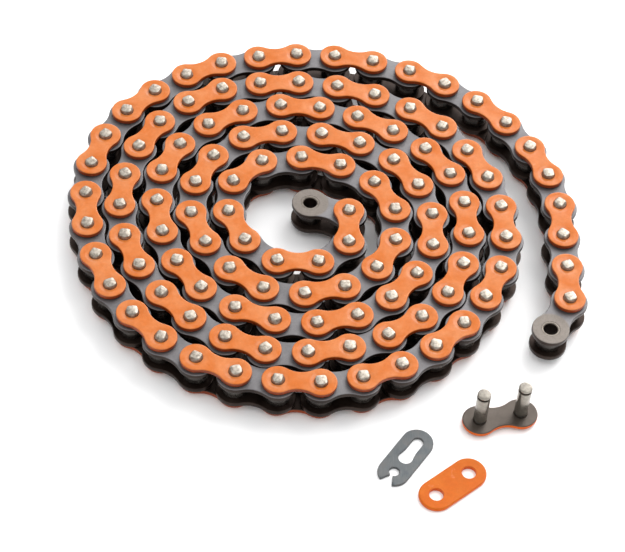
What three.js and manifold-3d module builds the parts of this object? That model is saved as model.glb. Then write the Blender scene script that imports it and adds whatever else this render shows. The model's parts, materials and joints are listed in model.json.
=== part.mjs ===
// Roller chain of 118 pitches, lying on its side in a flat spiral, with a loose connecting link.
// Units are millimetres, +Z is up, and every pin stands upright on the floor at Z = 0.

import * as THREE from 'three';
import { mergeVertices } from 'three/addons/utils/BufferGeometryUtils.js';
import Module from 'manifold-3d';

// ---- chain sizes -------------------------------------------------------------------------------
const PITCH = 15.875;
const STATIONS = 118;
const INNER_WIDTH = 6.35;
const PLATE_T = 2.0;
const PLATE_GAP = 0.3;
const PIN_LENGTH = 17.45;
const PIN_R = 2.54;
const PIN_CHAMFER = 0.45;
const BUSH_BORE_R = 2.95;
const BUSH_R = 3.6;
const ROLLER_BORE_R = 4.06;
const ROLLER_R = 5.08;
const ROLLER_END_PLAY = 0.25;
const FIT_GAP = 0.12;
const INNER_HEAD_R = 7.15;
const INNER_WAIST = 5.3;
const OUTER_HEAD_R = 6.1;
const OUTER_WAIST = 3.95;

// ---- levels up the pins ------------------------------------------------------------------------
const MID_Z = PIN_LENGTH / 2;
const IN_LO = MID_Z - INNER_WIDTH / 2;
const IN_HI = MID_Z + INNER_WIDTH / 2;
const IN_BOTTOM = IN_LO - PLATE_T;
const IN_TOP = IN_HI + PLATE_T;
const OUT_LO = IN_BOTTOM - PLATE_GAP;
const OUT_HI = IN_TOP + PLATE_GAP;
const OUT_BOTTOM = OUT_LO - PLATE_T;
const OUT_TOP = OUT_HI + PLATE_T;

// ---- how the chain is wound --------------------------------------------------------------------
const COIL_X = -10.92;
const COIL_Y = 14.40;
const START_RADIUS = 21.96;
const RADIUS_PER_RADIAN = 2.201;
const OVAL = 1.51;
const OVAL_AT = 0.45;
const LOBE = -0.92;
const LOBE_AT = 0.7;
const START_ANGLE = -1.31;
const START_TUCK = 0.51;
const TUCK_UNTIL = 2.59;
const TAIL_LIFT = 10.02;
const TAIL_FROM = 29.16;
const TAIL_SPAN = 1.97;
const TURN_GAP = 0.25;
const WAIST_REACH = 5.4;
const TAIL_BENDS = [-12.5, 1, -2, -30];

// ---- which links are joined and which stay apart -----------------------------------------------
const FROZEN_FROM = 3;
const FROZEN_TO = 97;
const RUN_LINKS = 24;
const DETAIL_FROM = 112;

// ---- how finely round shapes are cut -----------------------------------------------------------
const COIL_HEAD_POINTS = 4;
const COIL_PIN_SIDES = 4;
const COIL_ROLLER_SIDES = 6;
const LINK_HEAD_POINTS = 4;
const LINK_PIN_SIDES = 6;
const LINK_ROLLER_SIDES = 8;
const PIECE_HEAD_POINTS = 6;
const PIECE_SIDES = 8;

// ---- loose connecting link ---------------------------------------------------------------------
const SPARE_HEAD_R = 6.5;
const SPARE_WAIST = 4.35;
const SPARE_PLATE_T = 1.8;
const SPARE_PIN_LENGTH = 18.85;
const SPARE_RIVET = 1.2;
const SPARE_GROOVE_DEPTH = 0.55;
const SPARE_GROOVE_FROM_TIP = 0.8;
const SPARE_GROOVE_WIDTH = 1.05;
const SPARE_TIP_CHAMFER = 0.3;
const PIN_PLATE = { x: 61.39, y: -66.61, turn: 17.6 };
const TOP_PLATE = { x: 46.60, y: -100.80, turn: 43.3 };
const CLIP = { x: 38.59, y: -78.71, turn: 239.7 };
const CLIP_T = 1.2;
const CLIP_HEAD_R = 5.95;
const CLIP_CLOSED_X = -0.5;
const CLIP_OPEN_X = 15.5;
const CLIP_AXIS_Y = 0.1;
const CLIP_SLOT_X = -0.7;
const CLIP_SLOT_R = 2.1;
const CLIP_SHOULDER_X = 4.2;
const CLIP_LOBE_X = 7.65;
const CLIP_LOBE_R = 2.75;
const CLIP_NOTCH_X = 15.35;
const CLIP_NOTCH_R = 1.95;
const CLIP_NECK = 0.55;
const CLIP_NECK_X = 16.8;
const CLIP_MOUTH = 2.4;
const CLIP_MOUTH_X = 20.9;

const wasm = await Module();
wasm.setup();

// ---- colours -----------------------------------------------------------------------------------
const paint = (name) => {
  const m = new THREE.MeshStandardMaterial({ color: 0xf07a34, roughness: 0.42, metalness: 0.1 });
  m.name = name;
  return m;
};
const steel = (name, color, roughness) => {
  const m = new THREE.MeshStandardMaterial({ color, roughness, metalness: 0.85 });
  m.name = name;
  return m;
};
const ORANGE = () => paint('orange_paint');
const PLATE_STEEL = () => steel('plate_steel', 0x8b8682, 0.5);
const PIN_STEEL = () => steel('pin_steel', 0xb9b3a8, 0.35);
const BUSH_STEEL = () => steel('bush_steel', 0x7d7a75, 0.4);
const ROLLER_STEEL = () => steel('roller_steel', 0x4a4541, 0.45);
const CLIP_STEEL = () => steel('clip_steel', 0x8a94a0, 0.4);

// ---- solids ------------------------------------------------------------------------------------
function solid(geometry) {
  const bare = new THREE.BufferGeometry();
  bare.setAttribute('position', geometry.getAttribute('position'));
  if (geometry.index) {
    bare.setIndex(geometry.index);
  }
  const g = mergeVertices(bare, 1e-4);
  const mesh = new wasm.Mesh({
    numProp: 3,
    vertProperties: new Float32Array(g.getAttribute('position').array),
    triVerts: new Uint32Array(g.index.array),
  });
  return new wasm.Manifold(mesh);
}

function geometryOf(manifold) {
  const mesh = manifold.getMesh();
  const g = new THREE.BufferGeometry();
  g.setAttribute('position', new THREE.BufferAttribute(new Float32Array(mesh.vertProperties), 3));
  g.setIndex(new THREE.BufferAttribute(new Uint32Array(mesh.triVerts), 1));
  g.computeVertexNormals();
  return g;
}

// A flat shape given as [x, y] points, standing from z0 to z1.
function slab(points, z0, z1) {
  const shape = new THREE.Shape(points.map(([x, y]) => new THREE.Vector2(x, y)));
  const g = new THREE.ExtrudeGeometry(shape, { depth: z1 - z0, bevelEnabled: false, steps: 1 });
  g.translate(0, 0, z0);
  return solid(g);
}

function ring(r, sides, x = 0, y = 0) {
  const pts = [];
  for (let k = 0; k < sides; k += 1) {
    const a = (2 * Math.PI * (k + 0.5)) / sides;
    pts.push([x + r * Math.cos(a), y + r * Math.sin(a)]);
  }
  return pts;
}

function post(r, sides, z0, z1, x = 0) {
  return slab(ring(r, sides, x), z0, z1);
}

// A round bar with a chamfered tip at both ends.
function chamferedBar(r, sides, z0, z1, chamfer, x = 0) {
  const profile = [
    new THREE.Vector2(0, z0),
    new THREE.Vector2(r - chamfer, z0),
    new THREE.Vector2(r, z0 + chamfer),
    new THREE.Vector2(r, z1 - chamfer),
    new THREE.Vector2(r - chamfer, z1),
    new THREE.Vector2(0, z1),
  ];
  const g = new THREE.LatheGeometry(profile, sides);
  g.rotateX(Math.PI / 2);
  g.rotateZ(Math.PI / sides);
  g.translate(x, 0, 0);
  return solid(g);
}

// Figure-eight plate outline, head centres at x = 0 and x = PITCH.
function plateOutline(headR, waist, perHead) {
  const open = (62 * Math.PI) / 180;
  const pts = [];
  for (let k = 0; k < perHead; k += 1) {
    const a = open + ((2 * Math.PI - 2 * open) * k) / (perHead - 1);
    pts.push([headR * Math.cos(a), headR * Math.sin(a)]);
  }
  pts.push([PITCH / 2, -waist]);
  for (let k = 0; k < perHead; k += 1) {
    const a = Math.PI + open + ((2 * Math.PI - 2 * open) * k) / (perHead - 1);
    pts.push([PITCH + headR * Math.cos(a), headR * Math.sin(a)]);
  }
  pts.push([PITCH / 2, waist]);
  return pts;
}

function innerPlate(perHead, upper) {
  const z0 = upper ? IN_HI : IN_BOTTOM;
  return slab(plateOutline(INNER_HEAD_R, INNER_WAIST, perHead), z0, z0 + PLATE_T);
}

function outerPlate(perHead, upper, grow = 0) {
  const z0 = upper ? OUT_HI - grow : OUT_BOTTOM;
  return slab(plateOutline(OUTER_HEAD_R, OUTER_WAIST, perHead), z0, z0 + PLATE_T + grow);
}

// ---- winding -----------------------------------------------------------------------------------
function guide(q) {
  const step = Math.min(Math.max((q - TAIL_FROM) / TAIL_SPAN, 0), 1);
  const tuck = Math.max(TUCK_UNTIL - q, 0);
  const r = START_RADIUS + RADIUS_PER_RADIAN * q
    + OVAL * Math.cos(2 * (q - OVAL_AT))
    + LOBE * Math.cos(3 * (q - LOBE_AT))
    + TAIL_LIFT * step * step * (3 - 2 * step)
    - START_TUCK * tuck * tuck;
  return [COIL_X + r * Math.cos(q), COIL_Y - r * Math.sin(q)];
}

// How far a link laid from c to p would press into the turn already lying there.
function pressure(pins, waists, c, p, number) {
  const heads = 2 * INNER_HEAD_R + TURN_GAP;
  const headToWaist = INNER_HEAD_R + WAIST_REACH + TURN_GAP;
  const waistToWaist = 2 * WAIST_REACH + TURN_GAP;
  const mid = [(c[0] + p[0]) / 2, (c[1] + p[1]) / 2];
  const isInner = number % 2 === 0;
  let worst = 0;
  for (let j = 0; j < number - 1; j += 1) {
    worst = Math.max(worst, heads - Math.hypot(pins[j][0] - p[0], pins[j][1] - p[1]));
    if (isInner) {
      worst = Math.max(worst, headToWaist - Math.hypot(pins[j][0] - mid[0], pins[j][1] - mid[1]));
    }
  }
  for (let j = 0; j < waists.length - 1; j += 1) {
    const w = waists[j];
    worst = Math.max(worst, headToWaist - Math.hypot(w[0] - p[0], w[1] - p[1]));
    if (isInner) {
      worst = Math.max(worst, waistToWaist - Math.hypot(w[0] - mid[0], w[1] - mid[1]));
    }
  }
  return worst;
}

// Lays the links one after another: each follows the guide curve, or rests on the turn inside it.
function wind() {
  const pins = [guide(START_ANGLE)];
  const waists = [];
  let q = START_ANGLE;
  for (let number = 0; number < STATIONS - 1; number += 1) {
    const c = pins[number];
    const past = (s) => {
      const g = guide(s);
      return Math.hypot(g[0] - c[0], g[1] - c[1]) - PITCH;
    };
    let hi = q + 0.1;
    while (past(hi) < 0 && hi < q + 3) {
      hi += 0.05;
    }
    let lo = hi - 0.05;
    for (let k = 0; k < 30; k += 1) {
      const m = (lo + hi) / 2;
      if (past(m) < 0) {
        lo = m;
      } else {
        hi = m;
      }
    }
    q = hi;
    const aim = guide(q);
    let heading = Math.atan2(aim[1] - c[1], aim[0] - c[0]);
    const end = (h) => [c[0] + PITCH * Math.cos(h), c[1] + PITCH * Math.sin(h)];
    const clear = (h) => pressure(pins, waists, c, end(h), number) <= 0;
    if (!clear(heading)) {
      let out = heading;
      for (let k = 0; k < 120 && !clear(out); k += 1) {
        out += 0.01;
      }
      let tight = out - 0.01;
      for (let k = 0; k < 14; k += 1) {
        const m = (tight + out) / 2;
        if (clear(m)) {
          out = m;
        } else {
          tight = m;
        }
      }
      heading = out;
    }
    const tail = number - (STATIONS - 1 - TAIL_BENDS.length);
    if (tail >= 0) {
      const before = pins[number - 1];
      heading = Math.atan2(c[1] - before[1], c[0] - before[0]) + (TAIL_BENDS[tail] * Math.PI) / 180;
    }
    const p = end(heading);
    pins.push(p);
    if (number % 2 === 0) {
      waists.push([(c[0] + p[0]) / 2, (c[1] + p[1]) / 2]);
    }
    const seen = -Math.atan2(p[1] - COIL_Y, p[0] - COIL_X);
    q = seen + 2 * Math.PI * Math.round((q - seen) / (2 * Math.PI));
  }
  return pins;
}

const pins = wind();
const headingOf = (n) => Math.atan2(pins[n + 1][1] - pins[n][1], pins[n + 1][0] - pins[n][0]);
const isInnerLink = (n) => n % 2 === 0;

// ---- assembling --------------------------------------------------------------------------------
const chain = new THREE.Group();
chain.name = 'roller_chain';

function addMesh(name, manifold, material, place) {
  const mesh = new THREE.Mesh(geometryOf(manifold), material);
  mesh.name = name;
  if (place) {
    mesh.position.set(place.x, place.y, 0);
    mesh.rotation.z = place.turn;
  }
  chain.add(mesh);
  return mesh;
}

function linkPlace(n) {
  return { x: pins[n][0], y: pins[n][1], turn: headingOf(n) };
}

function moved(manifold, n) {
  const turn = (headingOf(n) * 180) / Math.PI;
  return manifold.rotate([0, 0, turn]).translate([pins[n][0], pins[n][1], 0]);
}

const linkName = (n) => `link_${String(n + 1).padStart(3, '0')}`;

// One joined stretch of the coil. It starts and ends at a free bush or a free pin.
function frozenRun(first, last) {
  const parts = [];
  for (let n = first; n <= last; n += 1) {
    if (isInnerLink(n)) {
      parts.push(moved(innerPlate(COIL_HEAD_POINTS, false), n));
      parts.push(moved(innerPlate(COIL_HEAD_POINTS, true), n));
    } else {
      parts.push(moved(outerPlate(COIL_HEAD_POINTS, false, PLATE_GAP), n));
      parts.push(moved(outerPlate(COIL_HEAD_POINTS, true, PLATE_GAP), n));
    }
  }
  const bores = [];
  for (let s = first; s <= last + 1; s += 1) {
    const n = Math.min(s, last);
    const x = s === n ? 0 : PITCH;
    const freeBush = s === first && isInnerLink(first);
    const freePin = (s === first && !isInnerLink(first)) || s === last + 1;
    if (!freeBush) {
      parts.push(moved(post(PIN_R, COIL_PIN_SIDES, 0, PIN_LENGTH, x), n));
    } else {
      bores.push(moved(post(BUSH_BORE_R, 8, IN_BOTTOM - 1, IN_TOP + 1, x), n));
    }
    if (!freePin) {
      parts.push(moved(post(ROLLER_R, freeBush ? 8 : COIL_ROLLER_SIDES, IN_LO, IN_HI, x), n));
    }
  }
  let whole = wasm.Manifold.union(parts);
  for (const bore of bores) {
    whole = whole.subtract(bore);
  }
  return whole;
}

// One articulated inner link with its two bushes and rollers joined.
function joinedInnerLink() {
  const parts = [innerPlate(LINK_HEAD_POINTS, false), innerPlate(LINK_HEAD_POINTS, true)];
  const bores = [];
  for (const x of [0, PITCH]) {
    parts.push(post(ROLLER_R, LINK_ROLLER_SIDES, IN_LO, IN_HI, x));
    bores.push(post(BUSH_BORE_R, 8, IN_BOTTOM - 1, IN_TOP + 1, x));
  }
  return wasm.Manifold.union(parts).subtract(wasm.Manifold.union(bores));
}

// One articulated outer link with its two plates riveted on its pins.
function joinedOuterLink() {
  const parts = [outerPlate(LINK_HEAD_POINTS, false), outerPlate(LINK_HEAD_POINTS, true)];
  for (const x of [0, PITCH]) {
    parts.push(post(PIN_R, LINK_PIN_SIDES, 0, PIN_LENGTH, x));
  }
  return wasm.Manifold.union(parts);
}

function bored(plate, r, sides) {
  const holes = [];
  for (const x of [0, PITCH]) {
    holes.push(post(r, sides, -5, PIN_LENGTH + 5, x));
  }
  return plate.subtract(wasm.Manifold.union(holes));
}

// An inner link as its six pieces: two plates, two bushes, two rollers.
function addInnerLinkPieces(n) {
  const place = linkPlace(n);
  const name = linkName(n);
  const bushHole = BUSH_R + FIT_GAP;
  addMesh(`${name}_inner_plate_lower`, bored(innerPlate(PIECE_HEAD_POINTS, false), bushHole, PIECE_SIDES), PLATE_STEEL(), place);
  addMesh(`${name}_inner_plate_upper`, bored(innerPlate(PIECE_HEAD_POINTS, true), bushHole, PIECE_SIDES), PLATE_STEEL(), place);
  for (const [tag, x] of [['a', 0], ['b', PITCH]]) {
    const bush = post(BUSH_R, PIECE_SIDES, IN_BOTTOM, IN_TOP, x)
      .subtract(post(BUSH_BORE_R, PIECE_SIDES, IN_BOTTOM - 1, IN_TOP + 1, x));
    addMesh(`${name}_bush_${tag}`, bush, BUSH_STEEL(), place);
    const low = IN_LO + ROLLER_END_PLAY;
    const high = IN_HI - ROLLER_END_PLAY;
    const roller = post(ROLLER_R, PIECE_SIDES, low, high, x)
      .subtract(post(ROLLER_BORE_R, PIECE_SIDES, low - 1, high + 1, x));
    addMesh(`${name}_roller_${tag}`, roller, ROLLER_STEEL(), place);
  }
}

// An outer link as its four pieces: two plates and two pins.
function addOuterLinkPieces(n) {
  const place = linkPlace(n);
  const name = linkName(n);
  const pinHole = PIN_R + FIT_GAP;
  addMesh(`${name}_outer_plate_lower`, bored(outerPlate(PIECE_HEAD_POINTS, false), pinHole, PIECE_SIDES), ORANGE(), place);
  addMesh(`${name}_outer_plate_upper`, bored(outerPlate(PIECE_HEAD_POINTS, true), pinHole, PIECE_SIDES), ORANGE(), place);
  for (const [tag, x] of [['a', 0], ['b', PITCH]]) {
    const pin = chamferedBar(PIN_R, PIECE_SIDES, 0, PIN_LENGTH, PIN_CHAMFER, x);
    addMesh(`${name}_pin_${tag}`, pin, PIN_STEEL(), place);
  }
}

for (let n = 0; n < STATIONS - 1; n += 1) {
  const apart = n < 2 || n >= DETAIL_FROM;
  const frozen = n >= FROZEN_FROM && n <= FROZEN_TO;
  if (apart && isInnerLink(n)) {
    addInnerLinkPieces(n);
  } else if (apart) {
    addOuterLinkPieces(n);
  } else if (!frozen && isInnerLink(n)) {
    addMesh(`${linkName(n)}_inner`, joinedInnerLink(), PLATE_STEEL(), linkPlace(n));
  } else if (!frozen) {
    addMesh(`${linkName(n)}_outer`, joinedOuterLink(), ORANGE(), linkPlace(n));
  }
}

let runStart = FROZEN_FROM;
let runNumber = 1;
while (runStart <= FROZEN_TO) {
  const span = runNumber === 1 ? RUN_LINKS - 1 : RUN_LINKS;
  const runEnd = Math.min(runStart + span - 1, FROZEN_TO);
  addMesh(`coil_run_${runNumber}`, frozenRun(runStart, runEnd), ORANGE());
  runStart = runEnd + 1;
  runNumber += 1;
}

// ---- loose connecting link ---------------------------------------------------------------------
const degrees = (d) => (d * Math.PI) / 180;
const asPlace = (p) => ({ x: p.x, y: p.y, turn: degrees(p.turn) });

// Pin plate, lying on the riveted ends of its two pins.
const pinPlate = slab(plateOutline(SPARE_HEAD_R, SPARE_WAIST, 8), SPARE_RIVET, SPARE_RIVET + SPARE_PLATE_T);
addMesh('spare_pin_plate', bored(pinPlate, PIN_R + FIT_GAP, 12), ORANGE(), asPlace(PIN_PLATE));

function groovedPin(x) {
  const top = SPARE_PIN_LENGTH;
  const groove = top - SPARE_GROOVE_FROM_TIP;
  const r = PIN_R;
  const neck = r - SPARE_GROOVE_DEPTH;
  const profile = [
    new THREE.Vector2(0, 0),
    new THREE.Vector2(r - 0.2, 0),
    new THREE.Vector2(r, 0.2),
    new THREE.Vector2(r, groove - SPARE_GROOVE_WIDTH),
    new THREE.Vector2(neck, groove - SPARE_GROOVE_WIDTH),
    new THREE.Vector2(neck, groove),
    new THREE.Vector2(r, groove),
    new THREE.Vector2(r, top - SPARE_TIP_CHAMFER),
    new THREE.Vector2(r - SPARE_TIP_CHAMFER, top),
    new THREE.Vector2(0, top),
  ];
  const g = new THREE.LatheGeometry(profile, 12);
  g.rotateX(Math.PI / 2);
  g.rotateZ(Math.PI / 12);
  g.translate(x, 0, 0);
  return solid(g);
}
addMesh('spare_pin_a', groovedPin(0), PIN_STEEL(), asPlace(PIN_PLATE));
addMesh('spare_pin_b', groovedPin(PITCH), PIN_STEEL(), asPlace(PIN_PLATE));

// Connecting plate: straight sides, flat on the floor.
function straightOutline(headR, perHead) {
  const pts = [];
  for (let k = 0; k <= perHead; k += 1) {
    const a = Math.PI / 2 + (Math.PI * k) / perHead;
    pts.push([headR * Math.cos(a), headR * Math.sin(a)]);
  }
  for (let k = 0; k <= perHead; k += 1) {
    const a = -Math.PI / 2 + (Math.PI * k) / perHead;
    pts.push([PITCH + headR * Math.cos(a), headR * Math.sin(a)]);
  }
  return pts;
}
const topPlate = slab(straightOutline(SPARE_HEAD_R, 8), 0, SPARE_PLATE_T);
addMesh('spare_connecting_plate', bored(topPlate, PIN_R + 0.15, 12), ORANGE(), asPlace(TOP_PLATE));

// Spring clip: a closed end, a keyhole slot, and a split end that springs over the second pin.
function clipSolid() {
  const outline = [];
  for (let k = 0; k <= 8; k += 1) {
    const a = degrees(90 + (180 * k) / 8);
    outline.push([CLIP_CLOSED_X + CLIP_HEAD_R * Math.cos(a), CLIP_HEAD_R * Math.sin(a)]);
  }
  for (let k = 0; k <= 8; k += 1) {
    const a = degrees(-90 + (180 * k) / 8);
    outline.push([CLIP_OPEN_X + CLIP_HEAD_R * Math.cos(a), CLIP_HEAD_R * Math.sin(a)]);
  }
  const cut = (points) => slab(points, -1, CLIP_T + 1);
  const y = CLIP_AXIS_Y;
  const slot = [
    [CLIP_SLOT_X, y - CLIP_SLOT_R],
    [CLIP_SHOULDER_X, y - CLIP_SLOT_R],
    [CLIP_LOBE_X, y - CLIP_LOBE_R * 0.98],
    [CLIP_LOBE_X, y + CLIP_LOBE_R * 0.98],
    [CLIP_SHOULDER_X, y + CLIP_SLOT_R],
    [CLIP_SLOT_X, y + CLIP_SLOT_R],
  ];
  const mouth = [
    [CLIP_NOTCH_X, y - CLIP_NECK],
    [CLIP_NECK_X, y - CLIP_NECK],
    [CLIP_MOUTH_X + 1, y - CLIP_MOUTH - 0.45],
    [CLIP_MOUTH_X + 1, y + CLIP_MOUTH + 0.45],
    [CLIP_NECK_X, y + CLIP_NECK],
    [CLIP_NOTCH_X, y + CLIP_NECK],
  ];
  return slab(outline, 0, CLIP_T)
    .subtract(cut(ring(CLIP_SLOT_R, 12, CLIP_SLOT_X, y)))
    .subtract(cut(ring(CLIP_LOBE_R, 12, CLIP_LOBE_X, y)))
    .subtract(cut(slot))
    .subtract(cut(ring(CLIP_NOTCH_R, 12, CLIP_NOTCH_X, y)))
    .subtract(cut(mouth));
}
addMesh('spare_spring_clip', clipSolid(), CLIP_STEEL(), asPlace(CLIP));

export default chain;
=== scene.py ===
"""Roller chain lying on its side in a flat spiral, with a loose connecting link beside it."""

import json
import math
import random

import bmesh
import bpy
from mathutils import Matrix, Vector

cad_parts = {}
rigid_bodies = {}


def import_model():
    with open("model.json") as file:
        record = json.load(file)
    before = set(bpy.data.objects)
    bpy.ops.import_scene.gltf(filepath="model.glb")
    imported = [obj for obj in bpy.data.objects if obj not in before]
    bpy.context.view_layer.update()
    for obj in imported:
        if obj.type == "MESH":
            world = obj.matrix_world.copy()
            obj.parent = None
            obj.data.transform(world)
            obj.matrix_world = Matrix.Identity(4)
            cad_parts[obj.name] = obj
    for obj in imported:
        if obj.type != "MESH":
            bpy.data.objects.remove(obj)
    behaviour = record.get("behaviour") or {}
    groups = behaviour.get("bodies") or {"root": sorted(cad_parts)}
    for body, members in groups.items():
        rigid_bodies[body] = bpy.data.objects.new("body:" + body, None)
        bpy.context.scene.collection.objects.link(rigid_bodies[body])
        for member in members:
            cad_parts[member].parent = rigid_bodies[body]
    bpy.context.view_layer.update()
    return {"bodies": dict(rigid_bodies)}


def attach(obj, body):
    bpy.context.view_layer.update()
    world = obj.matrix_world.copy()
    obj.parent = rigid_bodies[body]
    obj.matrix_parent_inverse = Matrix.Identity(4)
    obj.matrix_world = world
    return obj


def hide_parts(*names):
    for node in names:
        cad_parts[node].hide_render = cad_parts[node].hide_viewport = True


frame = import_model()

MM = 0.001

# ---- chain sizes, in millimetres, as in the CAD part ------------------------------------------
PITCH = 15.875
STATIONS = 118
LINKS = STATIONS - 1
PLATE_T = 2.0
PIN_LENGTH = 17.45
PIN_R = 2.54
BUSH_R = 3.6
BUSH_BORE_R = 2.66
ROLLER_R = 5.08
ROLLER_BORE_R = 3.72
ROLLER_PLAY = 0.25
INNER_WIDTH = 6.35
PLATE_GAP = 0.3
INNER_HEAD_R, INNER_WAIST = 7.15, 5.3
OUTER_HEAD_R, OUTER_WAIST = 6.1, 3.95
MID_Z = PIN_LENGTH / 2
IN_LO, IN_HI = MID_Z - INNER_WIDTH / 2, MID_Z + INNER_WIDTH / 2
IN_BOTTOM, IN_TOP = IN_LO - PLATE_T, IN_HI + PLATE_T
OUT_HI = IN_TOP + PLATE_GAP
OUT_TOP = OUT_HI + PLATE_T
OUT_LO = IN_BOTTOM - PLATE_GAP
OUT_BOTTOM = OUT_LO - PLATE_T

# ---- how the chain is wound, as in the CAD part -----------------------------------------------
COIL_X, COIL_Y = -10.92, 14.40
START_RADIUS, RADIUS_PER_RADIAN = 21.96, 2.201
OVAL, OVAL_AT = 1.51, 0.45
LOBE, LOBE_AT = -0.92, 0.7
START_ANGLE, START_TUCK, TUCK_UNTIL = -1.31, 0.51, 2.59
TAIL_LIFT, TAIL_FROM, TAIL_SPAN = 10.02, 29.16, 1.97
TURN_GAP, WAIST_REACH = 0.25, 5.4
TAIL_BENDS = (-12.5, 1, -2, -30)

# ---- which links are locked in the coil, and which CAD nodes are apart ------------------------
LOCKED_FROM, LOCKED_TO = 3, 97
FIRST_RUN_LINKS, RUN_LINKS = 23, 24
APART = (0, 1, 112, 113, 114, 115, 116)

# ---- loose connecting link --------------------------------------------------------------------
PIN_PLATE = (61.39, -66.61, 17.6)
TOP_PLATE = (46.60, -100.80, 43.3)
CLIP = (38.59, -78.71, 239.7)
SPARE_HEAD_R, SPARE_WAIST, SPARE_T = 6.5, 4.35, 1.8
SPARE_RIVET = 1.2
SPARE_PIN_LENGTH = 18.85
GROOVE_FROM_TIP, GROOVE_W, GROOVE_DEPTH = 0.8, 1.05, 0.5

# ---- spring clip, along its own length from the closed end to the mouth -------------------------
CLIP_T, CLIP_EDGE, CLIP_R = 1.2, 0.1, 5.95
CLIP_CLOSED_X, CLIP_OPEN_X = -0.5, 15.5
CLIP_AXIS_Y = 0.1
MOUTH_HALF, NECK_HALF, NECK_X = 2.4, 0.55, 17.25
NOTCH_X, NOTCH_R = 15.35, 1.95
KEY_X, KEY_R = -0.7, 2.1
LOBE_X, LOBE_R, LOBE_SWEEP = 7.65, 2.75, 0.6 * math.pi

# ---- edges and other fine detail of the visible pieces, in millimetres --------------------------
OUTER_EDGE, INNER_EDGE, COVER_EDGE = 0.4, 0.3, 0.55
EDGE_LAND = 0.12
DISH, DISH_W = 0.22, 1.5
ROLLER_EDGE, ROLLER_BORE_EDGE = 0.45, 0.2
BUSH_EDGE, BUSH_MOUTH, BUSH_SHORT = 0.1, 0.3, 0.02

# ---- the struck ends of the riveted pins --------------------------------------------------------
PIN_KINDS = 14
STRUCK_HALF = (1.66, 1.90)
STRUCK_UNEVEN = 0.22
STRUCK_SLOPE = (0.70, 1.10)
STRUCK_DEPTHS = (0.0, 0.06, 0.25, 0.5, 0.8, 1.15)
STRUCK_END = 1.45
STRUCK_TIP_ROUND = 0.14
STRUCK_CRISP = 9
SIDE_SEEN = 0.05


def guide(q):
    step = min(max((q - TAIL_FROM) / TAIL_SPAN, 0), 1)
    tuck = max(TUCK_UNTIL - q, 0)
    r = (START_RADIUS + RADIUS_PER_RADIAN * q + OVAL * math.cos(2 * (q - OVAL_AT))
         + LOBE * math.cos(3 * (q - LOBE_AT)) + TAIL_LIFT * step * step * (3 - 2 * step)
         - START_TUCK * tuck * tuck)
    return (COIL_X + r * math.cos(q), COIL_Y - r * math.sin(q))


def apart(a, b):
    return math.hypot(a[0] - b[0], a[1] - b[1])


def middle(a, b):
    return ((a[0] + b[0]) / 2, (a[1] + b[1]) / 2)


def pressure(pins, waists, c, p, number):
    """How far a link laid from c to p would press into the turn already lying there."""
    heads = 2 * INNER_HEAD_R + TURN_GAP
    head_to_waist = INNER_HEAD_R + WAIST_REACH + TURN_GAP
    waist_to_waist = 2 * WAIST_REACH + TURN_GAP
    mid = middle(c, p)
    inner = number % 2 == 0
    worst = 0
    for pin in pins[:max(number - 1, 0)]:
        worst = max(worst, heads - apart(pin, p))
        if inner:
            worst = max(worst, head_to_waist - apart(pin, mid))
    for waist in waists[:max(len(waists) - 1, 0)]:
        worst = max(worst, head_to_waist - apart(waist, p))
        if inner:
            worst = max(worst, waist_to_waist - apart(waist, mid))
    return worst


def wind():
    """Lays the links one after another: each follows the guide curve, or rests on the turn inside it."""
    pins, waists, q = [guide(START_ANGLE)], [], START_ANGLE
    for number in range(LINKS):
        c = pins[number]

        def past(s):
            return apart(guide(s), c) - PITCH

        def end(h):
            return (c[0] + PITCH * math.cos(h), c[1] + PITCH * math.sin(h))

        def clear(h):
            return pressure(pins, waists, c, end(h), number) <= 0

        hi = q + 0.1
        while past(hi) < 0 and hi < q + 3:
            hi += 0.05
        lo = hi - 0.05
        for _ in range(30):
            m = (lo + hi) / 2
            lo, hi = (m, hi) if past(m) < 0 else (lo, m)
        q = hi
        aim = guide(q)
        heading = math.atan2(aim[1] - c[1], aim[0] - c[0])
        if not clear(heading):
            out, k = heading, 0
            while k < 120 and not clear(out):
                out, k = out + 0.01, k + 1
            tight = out - 0.01
            for _ in range(14):
                m = (tight + out) / 2
                tight, out = (tight, m) if clear(m) else (m, out)
            heading = out
        tail = number - (LINKS - len(TAIL_BENDS))
        if tail >= 0:
            before = pins[number - 1]
            heading = math.atan2(c[1] - before[1], c[0] - before[0]) + math.radians(TAIL_BENDS[tail])
        p = end(heading)
        pins.append(p)
        if number % 2 == 0:
            waists.append(middle(c, p))
        seen = -math.atan2(p[1] - COIL_Y, p[0] - COIL_X)
        q = seen + 2 * math.pi * math.floor((q - seen) / (2 * math.pi) + 0.5)
    return pins


STATION = wind()


def link_place(n):
    """Where link n lies: its first station, and its heading."""
    a, b = STATION[n], STATION[n + 1]
    heading = math.atan2(b[1] - a[1], b[0] - a[0])
    return Matrix.Translation((a[0], a[1], 0)) @ Matrix.Rotation(heading, 4, "Z")


def piece_place(spot):
    x, y, turn = spot
    return Matrix.Translation((x, y, 0)) @ Matrix.Rotation(math.radians(turn), 4, "Z")


# ---- outlines ---------------------------------------------------------------------------------
def arc(cx, cy, r, a0, a1, steps, first=0, last=0):
    """Points round a circle from angle a0 to a1, leaving off some at either end."""
    turns = [a0 + (a1 - a0) * k / steps for k in range(first, steps + 1 - last)]
    return [(cx + r * math.cos(a), cy + r * math.sin(a)) for a in turns]


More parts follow.
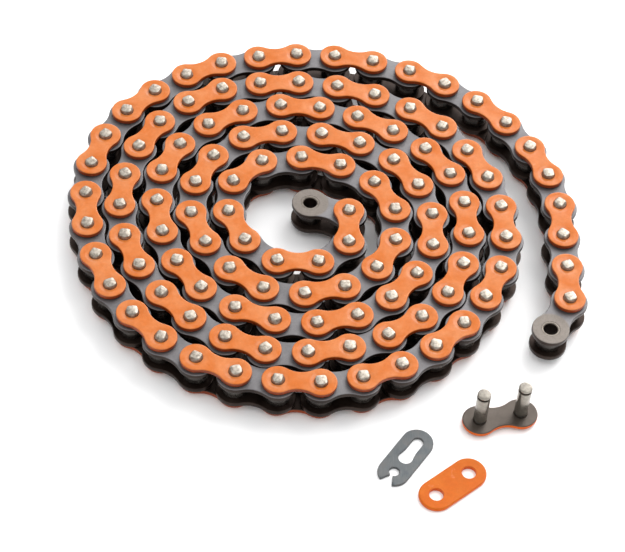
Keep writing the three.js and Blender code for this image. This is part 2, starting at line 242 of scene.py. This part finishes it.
def figure_eight(head_r, waist, head_steps=22, waist_steps=8):
    """The plate outline as a function of how far it is drawn in: round heads joined by hollow waists."""
    half = PITCH / 2
    hollow_r = (half * half + waist * waist - head_r * head_r) / (2 * (head_r - waist))
    lift = waist + hollow_r
    t = math.atan2(lift, half)

    def at(inset):
        r, h = head_r - inset, hollow_r + inset
        return (arc(0, 0, r, t, 2 * math.pi - t, head_steps)
                + arc(half, -lift, h, math.pi - t, t, waist_steps, 1, 1)
                + arc(PITCH, 0, r, math.pi + t, 3 * math.pi - t, head_steps)
                + arc(half, lift, h, -t, t - math.pi, waist_steps, 1, 1))
    return at


def straight_sided(head_r, head_steps=22):
    def at(inset):
        r = head_r - inset
        return (arc(0, 0, r, math.pi / 2, 3 * math.pi / 2, head_steps)
                + arc(PITCH, 0, r, -math.pi / 2, math.pi / 2, head_steps))
    return at


def circle(r, steps, x=0):
    turns = [2 * math.pi * k / steps for k in range(steps)]
    return [(x + r * math.cos(a), r * math.sin(a)) for a in turns]


# ---- shapes, made once in millimetres and then laid in place ----------------------------------
class Shape:
    """Vertices, faces and a material index for each face."""

    def __init__(self, bm):
        bmesh.ops.recalc_face_normals(bm, faces=bm.faces[:])
        bm.verts.index_update()
        self.verts = [v.co.copy() for v in bm.verts]
        self.faces = [[v.index for v in f.verts] for f in bm.faces]
        self.mats = [f.material_index for f in bm.faces]
        bm.free()


def add_ring(bm, points, z):
    return [bm.verts.new((x, y, z)) for x, y in points]


def join_rings(bm, rings, mats=None):
    for k in range(len(rings) - 1):
        a, b = rings[k], rings[k + 1]
        for i in range(len(a)):
            j = (i + 1) % len(a)
            f = bm.faces.new((a[i], a[j], b[j], b[i]))
            f.material_index = mats[k] if mats else 0


def fill_between(bm, loops, mat=0):
    edges = [bm.edges.get((r[i], r[(i + 1) % len(r)])) for r in loops for i in range(len(r))]
    made = bmesh.ops.triangle_fill(bm, use_beauty=True, use_dissolve=False, edges=edges)
    for g in made["geom"]:
        if isinstance(g, bmesh.types.BMFace):
            g.material_index = mat


def rounding(edge, steps=4):
    """(inset, drop) pairs round an edge, from the side wall to a little way onto the flat."""
    turn = [math.pi / 2 * k / steps for k in range(steps + 1)]
    return [(edge * (1 - math.cos(a)), edge * (1 - math.sin(a))) for a in turn] + [(edge + EDGE_LAND, 0.0)]


def plate_shape(outline, z0, z1, edge, hole_r, hole_edge, mats, dish=0.0, dish_w=0.0, steps=28):
    """A plate with rounded edges and two holes, each in a shallow dish if dish is more than nothing.

    mats are those of its top with the rounding over it, its side, and its underside.
    """
    bm = bmesh.new()
    over = rounding(edge)
    low = [(i, z0 + d) for i, d in reversed(over)]
    high = [(i, z1 - d) for i, d in over]
    rings = [add_ring(bm, outline(i), z) for i, z in low + high]
    over_top, over_under = 4, 3
    wall = len(rings) - 1 - over_top - over_under
    side = [mats[2]] * over_under + [mats[1]] * wall + [mats[0]] * over_top
    join_rings(bm, rings, side)
    top, under = [rings[-1]], [rings[0]]
    for x in (0, PITCH):
        rim = [(hole_r + hole_edge, z0), (hole_r, z0 + hole_edge), (hole_r, z1 - hole_edge - dish),
               (hole_r + hole_edge, z1 - dish)]
        if dish:
            rim += [(hole_r + dish_w * 0.55, z1 - dish * 0.72), (hole_r + dish_w, z1 - dish * 0.12),
                    (hole_r + dish_w + 0.35, z1)]
        hole = [add_ring(bm, circle(r, steps, x), z) for r, z in rim]
        join_rings(bm, hole, [mats[2], mats[1]] + [mats[0]] * (len(hole) - 3))
        top.append(hole[-1])
        under.append(hole[0])
    fill_between(bm, top, mats[0])
    fill_between(bm, under, mats[2])
    return Shape(bm)


def close_end(bm, ring, x, z, mat=0):
    """Closes a ring with a fan of triangles to one point on its axis."""
    tip = bm.verts.new((x, 0, z))
    for i in range(len(ring)):
        f = bm.faces.new((ring[i], ring[(i + 1) % len(ring)], tip))
        f.material_index = mat


def turned_shape(profile, steps, x, closed=False, mats=None):
    """A body of revolution about the upright axis at x. An open profile starts and ends on the axis."""
    bm = bmesh.new()
    if closed:
        rings = [add_ring(bm, circle(r, steps, x), z) for r, z in profile]
        join_rings(bm, rings + [rings[0]], mats)
    else:
        rings = [add_ring(bm, circle(r, steps, x), z) for r, z in profile[1:-1]]
        join_rings(bm, rings, mats)
        close_end(bm, rings[0], x, profile[0][1], mats[0])
        close_end(bm, rings[-1], x, profile[-1][1], mats[-1])
    return Shape(bm)


def struck_outline(depth, turn, halves, slopes, steps):
    """Outline of a struck end, this deep below its tip: the pin's circle cut by four flats."""
    tip_round = STRUCK_TIP_ROUND if depth == 0 else 0.0
    points = []
    for k in range(steps):
        a = 2 * math.pi * k / steps
        total = (1 / PIN_R) ** STRUCK_CRISP
        for side in range(4):
            away = math.cos(a - turn - side * math.pi / 2)
            reach = halves[side] + depth * slopes[side] - tip_round
            if away > SIDE_SEEN:
                total += (away / reach) ** STRUCK_CRISP
        r = total ** (-1 / STRUCK_CRISP)
        points.append((r * math.cos(a), r * math.sin(a)))
    return points


def staked_pin(rng, steps=40):
    """A pin whose two ends are struck down on four sides, which leaves a rounded square on each tip."""
    bm = bmesh.new()
    rings = []
    for upper in (False, True):
        turn, half = rng.uniform(0, math.pi / 2), rng.uniform(*STRUCK_HALF)
        halves = [half + rng.uniform(-STRUCK_UNEVEN, STRUCK_UNEVEN) for _ in range(4)]
        slopes = [rng.uniform(*STRUCK_SLOPE) for _ in range(4)]
        made = []
        for depth in STRUCK_DEPTHS:
            outline = struck_outline(depth, turn, halves, slopes, steps)
            made.append(add_ring(bm, outline, PIN_LENGTH - depth if upper else depth))
        made.append(add_ring(bm, circle(PIN_R, steps), PIN_LENGTH - STRUCK_END if upper else STRUCK_END))
        rings += made[::-1] if upper else made
    join_rings(bm, rings)
    close_end(bm, rings[0], 0, 0.0)
    close_end(bm, rings[-1], 0, PIN_LENGTH)
    return Shape(bm)


def turned_edge(r, z, edge, up, steps=3):
    """Profile points round a turned outer edge: up=1 ends on a top face, up=-1 starts on a bottom face."""
    pts = [(r - edge + edge * math.cos(a), z - up * edge + up * edge * math.sin(a))
           for a in [math.pi / 2 * k / steps for k in range(steps + 1)]]
    return pts if up > 0 else pts[::-1]


def roller_shape(x):
    z0, z1 = IN_LO + ROLLER_PLAY, IN_HI - ROLLER_PLAY
    mouth_r = ROLLER_BORE_R + ROLLER_BORE_EDGE
    outside = turned_edge(ROLLER_R, z0, ROLLER_EDGE, -1) + turned_edge(ROLLER_R, z1, ROLLER_EDGE, 1)
    bore = [(mouth_r, z1), (ROLLER_BORE_R, z1 - ROLLER_BORE_EDGE),
            (ROLLER_BORE_R, z0 + ROLLER_BORE_EDGE), (mouth_r, z0)]
    return turned_shape(outside + bore, 40, x, closed=True)


def bush_shape(x):
    """A bush with a second material inside its bore."""
    z0, z1 = IN_BOTTOM + BUSH_SHORT, IN_TOP - BUSH_SHORT
    rim_r, mouth_r = BUSH_R - BUSH_EDGE, BUSH_BORE_R + BUSH_MOUTH
    profile = [(rim_r, z0), (BUSH_R, z0 + BUSH_EDGE), (BUSH_R, z1 - BUSH_EDGE), (rim_r, z1),
               (mouth_r, z1), (BUSH_BORE_R, z1 - BUSH_MOUTH), (BUSH_BORE_R, z0 + BUSH_MOUTH), (mouth_r, z0)]
    # the bore takes the dark oiled steel: painted shade inside it
    return turned_shape(profile, 32, x, closed=True, mats=[0, 0, 0, 0, 0, 1, 0, 0])


def grooved_pin_shape(x):
    """The loose link's pin: riveted foot, shaft, groove for the clip, and a rounded tip.

    Its materials are the shaft's, the groove's and the tip's.
    """
    top, r, neck = SPARE_PIN_LENGTH, PIN_R, PIN_R - GROOVE_DEPTH
    groove_top = top - GROOVE_FROM_TIP
    groove_low = groove_top - GROOVE_W
    foot = [(0, 0.02), (1.5, 0.02), (r - 0.25, 0.12), (r, 0.45), (r, groove_low - 0.12)]
    groove = [(r - 0.1, groove_low), (neck + 0.05, groove_low + 0.05), (neck, groove_low + 0.15),
              (neck, groove_top - 0.15), (neck + 0.05, groove_top - 0.03), (r - 0.12, groove_top)]
    tip = [(r - 0.02, groove_top + 0.1), (r - 0.02, top - 0.42), (r - 0.14, top - 0.16),
           (r - 0.4, top - 0.03), (r - 0.6, top), (0, top)]
    mats = [0] * (len(foot) - 1) + [1] * (len(groove) - 1) + [0, 0, 0, 2, 2]
    return turned_shape(foot + groove + tip, 40, x, mats=mats)


def clip_outside(inset):
    """The clip's edge from one lip of its mouth round to the other, and back round the notch."""
    r, lip = CLIP_R - inset, MOUTH_HALF + inset
    lip_turn = math.asin(lip / r)
    lip_x = CLIP_OPEN_X + r * math.cos(lip_turn)
    half, notch_r = NECK_HALF + inset, NOTCH_R + inset
    gap = math.asin(half / notch_r)
    clear = lip_turn + 0.05
    outer = (arc(CLIP_OPEN_X, 0, r, clear, math.pi / 2, 10)
             + arc(CLIP_CLOSED_X, 0, r, math.pi / 2, 3 * math.pi / 2, 26)
             + arc(CLIP_OPEN_X, 0, r, -math.pi / 2, -clear, 10))
    neck_y = CLIP_AXIS_Y - half
    mouth = [(lip_x - 0.25, -lip + 0.12), (NECK_X + 1.5, neck_y - 0.85), (NECK_X + 0.35, neck_y - 0.12)]
    notch = arc(NOTCH_X, CLIP_AXIS_Y, notch_r, -gap, -2 * math.pi + gap, 22)
    back = [(x, 2 * CLIP_AXIS_Y - y) for x, y in reversed(mouth)]
    return outer + mouth + notch + back


def clip_keyhole(grow):
    small, lobe = KEY_R + grow, LOBE_R + grow
    near, far, flare = 4.0, 5.4, 0.22
    return (arc(KEY_X, CLIP_AXIS_Y, small, math.pi / 2, 3 * math.pi / 2, 14)
            + [(near, CLIP_AXIS_Y - small), (far, CLIP_AXIS_Y - small - flare)]
            + arc(LOBE_X, CLIP_AXIS_Y, lobe, -LOBE_SWEEP, LOBE_SWEEP, 20)
            + [(far, CLIP_AXIS_Y + small + flare), (near, CLIP_AXIS_Y + small)])


def clip_shape():
    """The spring clip: a keyhole slot, and a split end with a mouth that springs over the second pin."""
    bm = bmesh.new()
    levels = [(CLIP_EDGE, 0.0), (0, CLIP_EDGE), (0, CLIP_T - CLIP_EDGE), (CLIP_EDGE, CLIP_T)]
    outside = [add_ring(bm, clip_outside(i), z) for i, z in levels]
    inside = [add_ring(bm, clip_keyhole(i), z) for i, z in levels]
    join_rings(bm, outside)
    join_rings(bm, inside)
    fill_between(bm, [outside[-1], inside[-1]])
    fill_between(bm, [outside[0], inside[0]])
    return Shape(bm)


# ---- materials --------------------------------------------------------------------------------
class Look:
    """A node material under construction. Patterns are in the row frame, in metres."""

    def __init__(self, name, **sockets):
        self.mat = bpy.data.materials.new(name)
        self.mat.use_nodes = True
        self.tree = self.mat.node_tree
        self.bsdf = next(n for n in self.tree.nodes if n.type == "BSDF_PRINCIPLED")
        self.space = self.node("ShaderNodeTexCoord").outputs["Object"]
        for key, value in sockets.items():
            self.bsdf.inputs[key.replace("_", " ")].default_value = value

    def node(self, kind, **settings):
        n = self.tree.nodes.new(kind)
        for key, value in settings.items():
            setattr(n, key, value)
        return n

    def link(self, a, b):
        self.tree.links.new(a, b)

    def stretched(self, scale, turn=0.0):
        n = self.node("ShaderNodeMapping")
        n.inputs["Scale"].default_value = scale
        n.inputs["Rotation"].default_value = (0, 0, turn)
        self.link(self.space, n.inputs["Vector"])
        return n.outputs["Vector"]

    def noise(self, scale, detail=3.0, roughness=0.55, distortion=0.0, vector=None):
        n = self.node("ShaderNodeTexNoise")
        n.inputs["Scale"].default_value = scale
        n.inputs["Detail"].default_value = detail
        n.inputs["Roughness"].default_value = roughness
        n.inputs["Distortion"].default_value = distortion
        self.link(vector or self.space, n.inputs["Vector"])
        return n.outputs["Fac"]

    def ramp(self, fac, *stops):
        """Colours or single greys at places along a pattern's range."""
        n = self.node("ShaderNodeValToRGB")
        el = n.color_ramp.elements
        while len(el) < len(stops):
            el.new(0.5)
        for e, (at, colour) in zip(el, stops):
            e.position = at
            e.color = (*colour, 1) if len(colour) == 3 else (colour[0],) * 3 + (1,)
        self.link(fac, n.inputs["Fac"])
        return n.outputs["Color"]

    def mix(self, fac, a, b, blend="MIX"):
        n = self.node("ShaderNodeMix", data_type="RGBA", blend_type=blend)
        for socket, value in ((n.inputs[0], fac), (n.inputs[6], a), (n.inputs[7], b)):
            if isinstance(value, bpy.types.NodeSocket):
                self.link(value, socket)
            else:
                socket.default_value = (*value, 1) if isinstance(value, tuple) else value
        return n.outputs[2]

    def near(self, x, y, inside, outside):
        """1 within `inside` of the upright axis at x, y, falling to 0 at `outside`; millimetres."""
        flat = self.stretched((1, 1, 0))
        far = self.node("ShaderNodeVectorMath", operation="DISTANCE")
        self.link(flat, far.inputs[0])
        far.inputs[1].default_value = (x * MM, y * MM, 0)
        span = self.node("ShaderNodeMapRange")
        span.inputs["From Min"].default_value = inside * MM
        span.inputs["From Max"].default_value = outside * MM
        span.inputs["To Min"].default_value = 1
        span.inputs["To Max"].default_value = 0
        self.link(far.outputs["Value"], span.inputs["Value"])
        return span.outputs["Result"]

    def colour(self, socket):
        self.link(socket, self.bsdf.inputs["Base Color"])

    def rough(self, fac, low, high):
        n = self.node("ShaderNodeMapRange")
        n.inputs["To Min"].default_value = low
        n.inputs["To Max"].default_value = high
        self.link(fac, n.inputs["Value"])
        self.link(n.outputs["Result"], self.bsdf.inputs["Roughness"])

    def bump(self, height, distance, strength=1.0):
        n = self.node("ShaderNodeBump")
        n.inputs["Strength"].default_value = strength
        n.inputs["Distance"].default_value = distance
        self.link(height, n.inputs["Height"])
        self.link(n.outputs["Normal"], self.bsdf.inputs["Normal"])


def orange_paint(name, deep, bright, gloss):
    """Glossy paint with a cloudy tone, fine specks, and a few pale patches painted in as highlights."""
    k = Look(name, Specular_IOR_Level=0.10, Coat_Weight=gloss, Coat_Roughness=0.08)
    broad = k.noise(150, 3, 0.6, 0.4)
    fine = k.noise(900, 3, 0.6)
    base = k.ramp(broad, (0.34, deep), (0.70, bright))
    speck = k.ramp(fine, (0.30, (0.90,)), (0.62, (1.0,)))
    # sparse pale patches in the colour: painted highlights on the glossy paint
    sheen_patches = k.ramp(k.noise(260, 5, 0.7, 0.6), (0.64, (0.0,)), (0.72, (1.0,)))
    tone = k.mix(1.0, base, speck, "MULTIPLY")
    pale = k.mix(0.12, tone, (0.95, 0.55, 0.35))
    k.colour(k.mix(sheen_patches, tone, pale))
    k.rough(fine, 0.26, 0.40)
    k.bump(k.noise(1500, 2, 0.5), 0.00002, 0.35)
    return k.mat


def plate_steel(name, dark, light, low, high, metal, worn=(), specular=0.5):
    """Oiled steel plate: cloudy greys, fine tumbling marks, and an optional brown-grey head."""
    k = Look(name, Metallic=metal, Specular_IOR_Level=specular)
    cloud = k.noise(120, 4, 0.6, 0.3)
    grain = k.noise(1600, 3, 0.65)
    base = k.ramp(cloud, (0.30, dark), (0.68, light))
    marks = k.ramp(grain, (0.3, (0.86,)), (0.7, (1.06, 1.05, 1.04)))
    tone = k.mix(1.0, base, marks, "MULTIPLY")
    if worn:
        (x, y), inside, outside, shade = worn
        paler = tuple(1.25 * c for c in shade)
        patchy = k.ramp(k.noise(700, 4, 0.7), (0.3, shade), (0.7, paler))
        scratches = k.ramp(grain, (0.3, (0.85,)), (0.7, (1.1,)))
        rubbed = k.mix(1.0, patchy, scratches, "MULTIPLY")
        tone = k.mix(k.near(x, y, inside, outside), tone, rubbed)
    k.colour(tone)
    k.rough(cloud, low, high)
    k.bump(grain, 0.00002, 0.5)
    return k.mat


def pin_steel(name, dark, light, low, high, dents):
    k = Look(name, Metallic=0.85, Specular_IOR_Level=0.5)
    cloud = k.noise(900, 4, 0.6, 0.4)
    grain = k.noise(3200, 3, 0.6)
    base = k.ramp(cloud, (0.34, dark), (0.62, light))
    k.colour(k.mix(1.0, base, k.ramp(grain, (0.3, (0.84,)), (0.7, (1.0,))), "MULTIPLY"))
    k.rough(cloud, low, high)
    k.bump(k.noise(1100, 3, 0.6), dents, 0.7)
    return k.mat


def roller_steel():
    """Dark oiled rollers, with turning marks round them and thin brown films."""
    k = Look("roller_steel", Metallic=0.75, Specular_IOR_Level=0.3, Coat_Weight=0.14, Coat_Roughness=0.12)
    turned = k.noise(1.0, 4, 0.6, 0.0, k.stretched((60, 60, 2600)))
    film = k.noise(180, 4, 0.65, 0.5)
    base = k.ramp(film, (0.36, (0.016, 0.010, 0.008)), (0.72, (0.105, 0.094, 0.084)))
    lines = k.ramp(turned, (0.3, (0.7,)), (0.7, (1.15,)))
    k.colour(k.mix(1.0, base, lines, "MULTIPLY"))
    k.rough(film, 0.16, 0.34)
    k.bump(turned, 0.00002, 0.35)
    return k.mat


def bush_steel():
    k = Look("bush_steel", Metallic=0.7, Specular_IOR_Level=0.5)
    film = k.noise(420, 4, 0.65, 0.3)
    base = k.ramp(film, (0.3, (0.100, 0.085, 0.070)), (0.7, (0.190, 0.165, 0.140)))
    grain = k.ramp(k.noise(2400, 2), (0.3, (0.85,)), (0.7, (1.0,)))
    k.colour(k.mix(1.0, base, grain, "MULTIPLY"))
    k.rough(film, 0.28, 0.45)
    k.bump(k.noise(1.0, 3, 0.6, 0.0, k.stretched((120, 120, 2400))), 0.00002, 0.3)
    return k.mat


def clip_steel():
    """Spring steel with a blue-grey temper, faint rolling streaks and mottling."""
    k = Look("clip_steel", Metallic=0.7, Specular_IOR_Level=0.5)
    streak = k.noise(1.0, 4, 0.6, 0.0, k.stretched((2400, 240, 240), math.radians(-CLIP[2])))
    cloud = k.noise(240, 4, 0.65, 0.4)
    base = k.ramp(cloud, (0.30, (0.060, 0.068, 0.074)), (0.52, (0.082, 0.087, 0.089)),
                  (0.74, (0.096, 0.091, 0.088)))
    lines = k.ramp(streak, (0.3, (0.84, 0.85, 0.86)), (0.7, (1.08,)))
    k.colour(k.mix(1.0, base, lines, "MULTIPLY"))
    k.rough(cloud, 0.36, 0.5)
    k.bump(streak, 0.00002, 0.4)
    return k.mat


def floor_look():
    k = Look("floor_paper", Specular_IOR_Level=0.2, Roughness=0.7)
    k.colour(k.ramp(k.noise(18, 3), (0.3, (0.915, 0.915, 0.92)), (0.7, (0.93, 0.93, 0.93))))
    return k.mat


GLOSS, SATIN = 0.30, 0.10
ORANGE = orange_paint("orange_paint", (0.462, 0.112, 0.012), (0.505, 0.168, 0.052), GLOSS)
# a brighter, more saturated copy of the orange paint for the loose plates' side walls: painted light
ORANGE_EDGE_LIT = orange_paint("orange_paint_edge", (0.56, 0.090, 0.003), (0.62, 0.108, 0.005), SATIN)
ORANGE_LOOSE = orange_paint("orange_paint_loose", (0.470, 0.092, 0.003), (0.490, 0.115, 0.008), SATIN)
# a darker copy of the orange paint for the outer plates' side walls: painted shade
ORANGE_SHADED = orange_paint("orange_paint_low", (0.18, 0.028, 0.004), (0.26, 0.042, 0.006), GLOSS)

TOP_LOOK = ((0.098, 0.094, 0.098), (0.148, 0.143, 0.148), 0.38, 0.52, 0.6)
INNER = plate_steel("inner_plate_steel", *TOP_LOOK)
# oiled steel, much darker than the inner plates' tops: real oil and bare steel, together with painted shade
# on the inner plates' sides and undersides, the lower inner plates and the bush bores, and a brown tint that
# paints in orange light bounced from the plates
OIL_AND_SHADE_LOOK = ((0.013, 0.0070, 0.0050), (0.044, 0.030, 0.024), 0.22, 0.40, 0.6)
DARK = plate_steel("oiled_plate_steel", *OIL_AND_SHADE_LOOK, specular=0.22)
HEAD_SHADE, WORN_TO, WORN_FADES = (0.112, 0.096, 0.083), 6.9, 7.6
START_HEAD = plate_steel("start_plate_steel", *TOP_LOOK, (STATION[0], WORN_TO, WORN_FADES, HEAD_SHADE))
TAIL_HEAD = plate_steel("tail_plate_steel", *TOP_LOOK, (STATION[LINKS], WORN_TO, WORN_FADES, HEAD_SHADE))
BARE = plate_steel("bare_plate_steel", (0.050, 0.039, 0.031), (0.078, 0.063, 0.052), 0.36, 0.5, 0.6)
PIN = pin_steel("pin_steel", (0.180, 0.155, 0.128), (0.385, 0.345, 0.292), 0.32, 0.50, 0.00010)
TIP_GREYS = ((0.130, 0.118, 0.100), (0.240, 0.220, 0.190))
LOOSE_TIP = pin_steel("loose_pin_tip_steel", *TIP_GREYS, 0.30, 0.45, 0.00006)
LOOSE_PIN = pin_steel("loose_pin_steel", (0.235, 0.212, 0.180), (0.340, 0.312, 0.270), 0.16, 0.30, 0.00001)
ROLLER = roller_steel()
BUSH = bush_steel()
CLIP_LOOK = clip_steel()
# outer plates: orange paint, dark steel, and the darker painted-shade orange on their side walls
PAINTED = [ORANGE, DARK, ORANGE_SHADED]

# ---- laying the pieces ------------------------------------------------------------------------
SHARP = math.radians(38)


def lay(name, parts, looks, body, nodes):
    """One visible piece from (shape, place) pairs. It rides on a body and stands for the CAD nodes given."""
    verts, faces, mats = [], [], []
    for shape, place in parts:
        start = len(verts)
        verts += [(place @ v) * MM for v in shape.verts]
        faces += [[i + start for i in f] for f in shape.faces]
        mats += shape.mats
    mesh = bpy.data.meshes.new(name)
    mesh.from_pydata([v[:] for v in verts], [], faces)
    mesh.polygons.foreach_set("use_smooth", [True] * len(faces))
    mesh.polygons.foreach_set("material_index", mats)
    for look in looks:
        mesh.materials.append(look)
    mesh.set_sharp_from_angle(angle=SHARP)
    piece = bpy.data.objects.new(name, mesh)
    bpy.context.scene.collection.objects.link(piece)
    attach(piece, body)
    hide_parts(*nodes)


EIGHT = figure_eight(OUTER_HEAD_R, OUTER_WAIST)
INNER_EIGHT = figure_eight(INNER_HEAD_R, INNER_WAIST)
PIN_HOLE_R, BUSH_HOLE_R = PIN_R + 0.1, BUSH_R + 0.03
OUTER_UP = plate_shape(EIGHT, OUT_HI, OUT_TOP, OUTER_EDGE, PIN_HOLE_R, 0.1, (0, 2, 1), DISH, DISH_W)
OUTER_LOW = plate_shape(EIGHT, OUT_BOTTOM, OUT_LO, OUTER_EDGE, PIN_HOLE_R, 0.1, (1, 2, 0))
INNER_UP = plate_shape(INNER_EIGHT, IN_HI, IN_TOP, INNER_EDGE, BUSH_HOLE_R, 0.06, (0, 1, 1))
INNER_DOWN = plate_shape(INNER_EIGHT, IN_BOTTOM, IN_LO, INNER_EDGE, BUSH_HOLE_R, 0.12, (0, 0, 0))
ROLLERS = [roller_shape(0), roller_shape(PITCH)]
BUSHES = [bush_shape(0), bush_shape(PITCH)]
DRAW = random.Random(7)
PINS = [staked_pin(DRAW) for _ in range(PIN_KINDS)]


def pins_of(place):
    """Two staked pins at the link's stations, each struck at its own angle."""
    out = []
    for x in (0, PITCH):
        shape = DRAW.choice(PINS)
        turn = Matrix.Rotation(DRAW.uniform(0, 2 * math.pi), 4, "Z")
        out.append((shape, place @ Matrix.Translation((x, 0, 0)) @ turn))
    return out


def coil_run(n):
    """The CAD node that holds locked link n."""
    past_first = n - LOCKED_FROM - FIRST_RUN_LINKS
    return f"coil_run_{1 if past_first < 0 else 2 + past_first // RUN_LINKS}"


def lay_locked_link(n):
    """A link held fast inside the coil: most of its like pieces are laid in pairs."""
    mine, place, nodes = f"link{n + 1:03d}", link_place(n), [coil_run(n)]
    if n % 2 == 0:
        bushes, rollers = [(s, place) for s in BUSHES], [(s, place) for s in ROLLERS]
        lay(f"{mine}_inner_plate_upper", [(INNER_UP, place)], [INNER, DARK], "coil", nodes)
        lay(f"{mine}_inner_plate_lower", [(INNER_DOWN, place)], [DARK], "coil", nodes)
        lay(f"{mine}_bushes", bushes, [BUSH, DARK], "coil", nodes)
        lay(f"{mine}_rollers", rollers, [ROLLER], "coil", nodes)
    else:
        plates = [(OUTER_UP, place), (OUTER_LOW, place)]
        lay(f"{mine}_outer_plates", plates, PAINTED, "coil", nodes)
        lay(f"{mine}_pins", pins_of(place), [PIN], "coil", nodes)


def lay_free_link(n):
    """A link with a body of its own, each piece apart. A roller with its own body rides on that."""
    cad, mine, place = f"link_{n + 1:03d}", f"link{n + 1:03d}", link_place(n)
    kind = "inner" if n % 2 == 0 else "outer"

    def put(tag, part, looks, body=cad):
        node = f"{cad}_{tag}" if n in APART else f"{cad}_{kind}"
        lay(f"{mine}_{tag}", [part], looks, body, [node])

    if kind == "inner":
        top = {0: START_HEAD, LINKS - 1: TAIL_HEAD}.get(n, INNER)
        put("inner_plate_upper", (INNER_UP, place), [top, DARK])
        put("inner_plate_lower", (INNER_DOWN, place), [DARK])
        for tag, bush, roller in zip("ab", BUSHES, ROLLERS):
            own = f"{cad}_roller_{tag}"
            rides = own if own in frame["bodies"] else cad
            put(f"bush_{tag}", (bush, place), [BUSH, DARK])
            put(f"roller_{tag}", (roller, place), [ROLLER], rides)
    else:
        put("outer_plate_upper", (OUTER_UP, place), PAINTED)
        put("outer_plate_lower", (OUTER_LOW, place), PAINTED)
        for tag, pin in zip("ab", pins_of(place)):
            put(f"pin_{tag}", pin, [PIN])


for n in range(LINKS):
    if LOCKED_FROM <= n <= LOCKED_TO:
        lay_locked_link(n)
    else:
        lay_free_link(n)

# ---- loose connecting link --------------------------------------------------------------------
SPARE_EIGHT = figure_eight(SPARE_HEAD_R, SPARE_WAIST, 26, 12)
SPARE_TOP = SPARE_RIVET + SPARE_T
pin_plate = plate_shape(SPARE_EIGHT, SPARE_RIVET, SPARE_TOP, OUTER_EDGE, PIN_R + 0.04, 0.1, (1, 2, 0))
at = piece_place(PIN_PLATE)
# the loose plates' side walls take the brighter orange: painted light
lay("loose_pin_plate", [(pin_plate, at)], [ORANGE_LOOSE, BARE, ORANGE_EDGE_LIT], "spare_pin_link",
    ["spare_pin_plate"])
for tag, x in (("a", 0), ("b", PITCH)):
    lay(f"loose_pin_{tag}", [(grooved_pin_shape(x), at)], [LOOSE_PIN, DARK, LOOSE_TIP], "spare_pin_link",
        [f"spare_pin_{tag}"])
cover = plate_shape(straight_sided(SPARE_HEAD_R, 26), 0.0, SPARE_T, COVER_EDGE, PIN_R + 0.15, 0.12, (0, 1, 0),
                    steps=36)
lay("loose_connecting_plate", [(cover, piece_place(TOP_PLATE))], [ORANGE_LOOSE, ORANGE_EDGE_LIT],
    "spare_connecting_plate", ["spare_connecting_plate"])
lay("loose_spring_clip", [(clip_shape(), piece_place(CLIP))], [CLIP_LOOK], "spare_spring_clip",
    ["spare_spring_clip"])

# ---- floor, light and camera ------------------------------------------------------------------
HORIZON, ZENITH, ZENITH_FROM = 0.55, 1.45, 0.9
BACK_LIGHT = (0.30, 0.88, 0.36)
BACK_WIDE, BACK_NARROW, BACK_POWER = 0.86, 0.96, 6.0
KEY_SPOT, KEY_SIZE, KEY_POWER = (0.45, 0.45, 0.90), 0.55, 4.8
FLOOR_SIZE, FLOOR_Z = 6, -0.00005
bpy.ops.mesh.primitive_grid_add(x_subdivisions=4, y_subdivisions=4, size=FLOOR_SIZE, location=(0, 0, FLOOR_Z))
floor = bpy.context.object
floor.name = "floor"
floor.data.materials.append(floor_look())

world = bpy.data.worlds.new("studio")
bpy.context.scene.world = world
world.use_nodes = True
sky = world.node_tree
backdrop = next(n for n in sky.nodes if n.type == "BACKGROUND")


def sky_node(kind, inputs=(), **settings):
    n = sky.nodes.new(kind)
    for key, value in settings.items():
        setattr(n, key, value)
    for key, value in inputs:
        if isinstance(value, bpy.types.NodeSocket):
            sky.links.new(value, n.inputs[key])
        else:
            n.inputs[key].default_value = value
    return n


def sky_rise(value, start, end, low, high):
    """A smooth rise from low to high as a value goes from start to end."""
    inputs = [("Value", value), ("From Min", start), ("From Max", end), ("To Min", low), ("To Max", high)]
    return sky_node("ShaderNodeMapRange", inputs, interpolation_type="SMOOTHSTEP").outputs["Result"]


toward = sky_node("ShaderNodeTexCoord").outputs["Generated"]
height = sky_node("ShaderNodeSeparateXYZ", [(0, toward)]).outputs["Z"]
toward_light = sky_node("ShaderNodeVectorMath", [(0, toward), (1, BACK_LIGHT)], operation="DOT_PRODUCT")
facing = toward_light.outputs["Value"]
dome = sky_rise(height, 0.0, ZENITH_FROM, HORIZON, ZENITH)
glow = sky_rise(facing, BACK_WIDE, BACK_NARROW, 0.0, BACK_POWER)
total = sky_node("ShaderNodeMath", [(0, dome), (1, glow)], operation="ADD").outputs["Value"]
backdrop.inputs["Color"].default_value = (1.0, 1.0, 1.0, 1)
sky.links.new(total, backdrop.inputs["Strength"])


def softbox(name, spot, size, power):
    data = bpy.data.lights.new(name, "AREA")
    data.shape = "RECTANGLE"
    data.size, data.size_y = size, size
    data.energy = power
    lamp = bpy.data.objects.new(name, data)
    lamp.location = spot
    lamp.rotation_euler = (-Vector(spot)).to_track_quat("-Z", "Y").to_euler()
    bpy.context.scene.collection.objects.link(lamp)


softbox("key", KEY_SPOT, KEY_SIZE, KEY_POWER)

ELEVATION = 0.8798
ROLL = 0.0898
LOOK_AT = Vector((-5.11, -17.01, 17.45)) * MM
DISTANCE = 854.04 * MM
LENS, SENSOR = 129.5, 36
ahead = Vector((0, math.cos(ELEVATION), -math.sin(ELEVATION)))
right = Vector((1, 0, 0))
up = Vector((0, math.sin(ELEVATION), math.cos(ELEVATION)))
cam_x = right * math.cos(ROLL) + up * math.sin(ROLL)
cam_y = up * math.cos(ROLL) - right * math.sin(ROLL)
camera_data = bpy.data.cameras.new("camera")
camera_data.lens = LENS
camera_data.sensor_width = SENSOR
camera_data.clip_start = 0.01
camera_data.clip_end = 50
camera = bpy.data.objects.new("camera", camera_data)
camera.matrix_world = Matrix.Translation(LOOK_AT - ahead * DISTANCE) @ Matrix(
    (cam_x, cam_y, -ahead)).transposed().to_4x4()
bpy.context.scene.collection.objects.link(camera)
bpy.context.scene.camera = camera
bpy.context.scene.view_settings.view_transform = "Standard"
